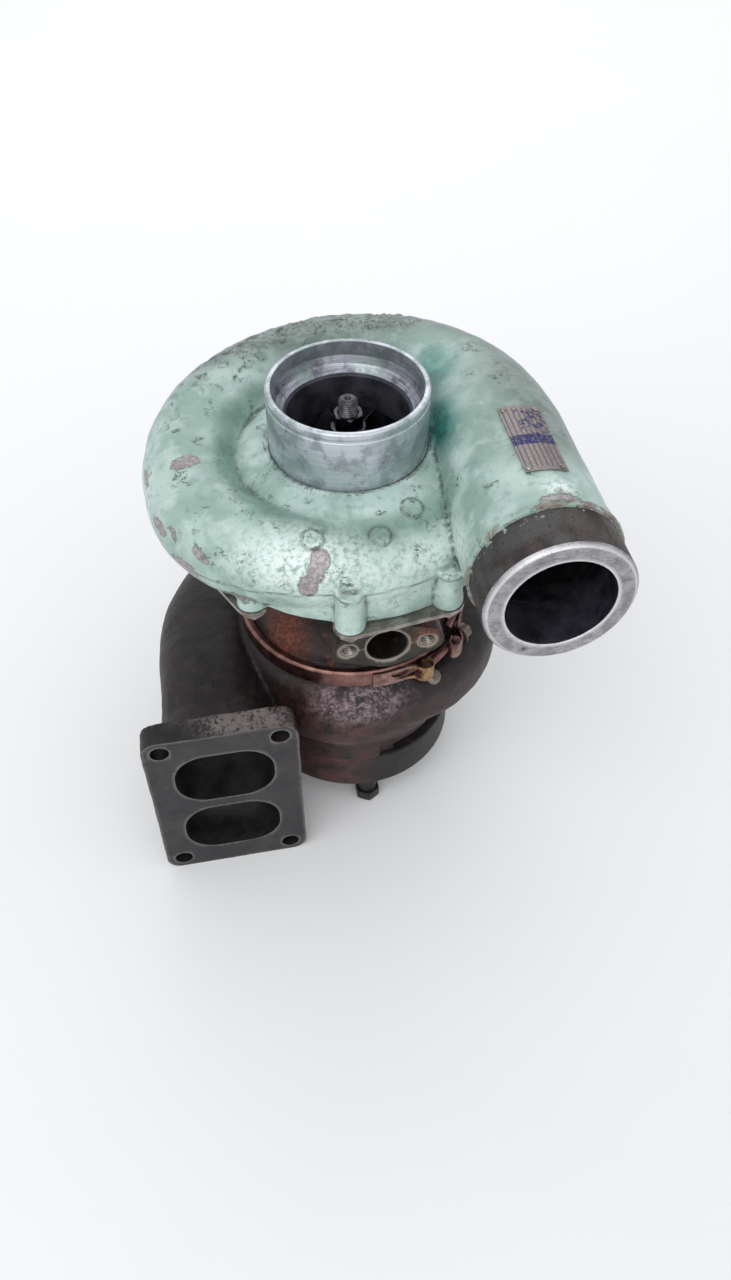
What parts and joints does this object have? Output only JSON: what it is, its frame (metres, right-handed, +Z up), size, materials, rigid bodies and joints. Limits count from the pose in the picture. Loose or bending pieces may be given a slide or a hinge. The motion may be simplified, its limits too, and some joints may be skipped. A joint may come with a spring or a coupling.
{
  "type": "turbocharger",
  "caption": "Twin-entry turbocharger with a painted compressor housing, bearing housing, V-band clamp, cast turbine housing and a rotor that spins on floating bearings.",
  "frame": {"origin": "on the surface it stands on, under the middle of its bounding box", "axes": "+Z up along the shaft towards the compressor inlet; -Y the side that both gas flanges and the oil drain face"},
  "size_m": [0.2988, 0.2878, 0.339],
  "materials": {
    "painted_casting": "worn pale green paint on cast aluminium, chipped",
    "turbine_iron": "heat-darkened rough casting",
    "bearing_iron": "rough casting with red-brown rust",
    "aluminium": "machined",
    "nickel_alloy": "as cast, heat tinted",
    "steel": "plain, lightly stained",
    "heat_stained_steel": "heat tinted brown",
    "black_steel": "black oxide, dirty",
    "bronze": "plain bearing bronze",
    "rubber": "matte",
    "plate_aluminium": "thin stamped plate, stained"
  },
  "bodies": {
    "housings": {"compressor_housing": "painted_casting", "turbine_housing": "turbine_iron", "outlet_flange_ring": "turbine_iron", "bearing_housing": "bearing_iron", "inlet_tube": "aluminium", "compressor_backplate": "aluminium", "thrust_bearing": "bronze", "seal_plate": "steel", "heat_shield": "heat_stained_steel", "compressor_seal_ring": "steel", "turbine_seal_ring": "steel", "cover_o_ring": "rubber", "v_band_clamp": "heat_stained_steel", "v_band_bolt": "steel", "v_band_nut": "steel", "data_plate": "plate_aluminium", "cover_bolt_1": "steel", "cover_bolt_2": "steel", "cover_bolt_3": "steel", "cover_bolt_4": "steel", "cover_bolt_5": "steel", "cover_bolt_6": "steel", "cover_bolt_7": "steel", "cover_bolt_8": "steel", "cover_bolt_9": "steel", "cover_bolt_10": "steel", "clamp_plate_1": "steel", "clamp_plate_2": "steel", "clamp_plate_3": "steel", "clamp_plate_4": "steel", "clamp_plate_5": "steel", "journal_retainer_1": "steel", "outlet_bolt_1": "black_steel", "outlet_spacer_1": "black_steel", "drive_screw_1": "steel", "journal_retainer_2": "steel", "outlet_bolt_2": "black_steel", "outlet_spacer_2": "black_steel", "drive_screw_2": "steel", "journal_retainer_3": "steel", "outlet_bolt_3": "black_steel", "outlet_spacer_3": "black_steel", "drive_screw_3": "steel", "journal_retainer_4": "steel", "outlet_bolt_4": "black_steel", "outlet_spacer_4": "black_steel", "drive_screw_4": "steel"},
    "rotor": {"rotor_shaft": "steel", "compressor_wheel": "aluminium", "shaft_nut": "steel", "turbine_wheel": "nickel_alloy", "thrust_collar": "steel", "oil_flinger": "steel"},
    "floating_bearing_compressor": {"journal_bearing_compressor": "bronze"},
    "floating_bearing_turbine": {"journal_bearing_turbine": "bronze"}
  },
  "joints": [
    {"name": "rotor_spin", "type": "hinge", "parent": "housings", "child": "rotor", "pos_m": [0.00865, 0.0041, 0.2], "axis": [0, 0, -1], "continuous": true},
    {"name": "bearing_float_compressor", "type": "hinge", "parent": "housings", "child": "floating_bearing_compressor", "pos_m": [0.00865, 0.0041, 0.2115], "axis": [0, 0, -1], "continuous": true},
    {"name": "bearing_float_turbine", "type": "hinge", "parent": "housings", "child": "floating_bearing_turbine", "pos_m": [0.00865, 0.0041, 0.173], "axis": [0, 0, -1], "continuous": true}
  ],
  "couplings": [
    {"joint": "bearing_float_compressor", "follows": "rotor_spin", "ratio": 0.3},
    {"joint": "bearing_float_turbine", "follows": "rotor_spin", "ratio": 0.3}
  ]
}
